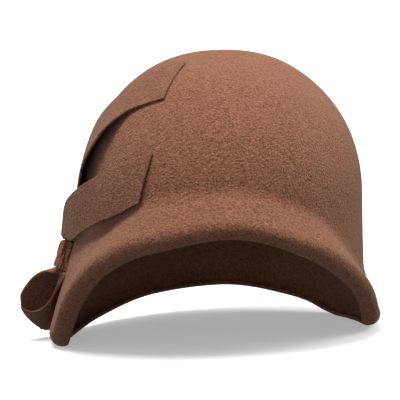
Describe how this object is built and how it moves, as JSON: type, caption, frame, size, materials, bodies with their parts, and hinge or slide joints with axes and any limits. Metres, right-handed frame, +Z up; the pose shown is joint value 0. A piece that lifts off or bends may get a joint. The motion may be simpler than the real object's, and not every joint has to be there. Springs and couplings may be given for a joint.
{
  "type": "cloche hat",
  "caption": "Close-fitting blocked felt hat with a deep turned-down brim and a flat felt bow, tails and loop on one side, open below for the head.",
  "frame": {"origin": "on the floor under the middle of the crown, in the middle of the head opening", "axes": "+Z up out of the crown, -Y the front of the hat, -X the side with the bow"},
  "size_m": [0.2249, 0.2263, 0.1781],
  "materials": {
    "body_felt": "matte wool felt",
    "strip_felt": "matte wool felt"
  },
  "bodies": {
    "root": {"hat_body": "body_felt", "upper_tail": "strip_felt", "front_tail": "strip_felt", "side_loop": "strip_felt", "knot_band": "strip_felt"}
  },
  "joints": []
}
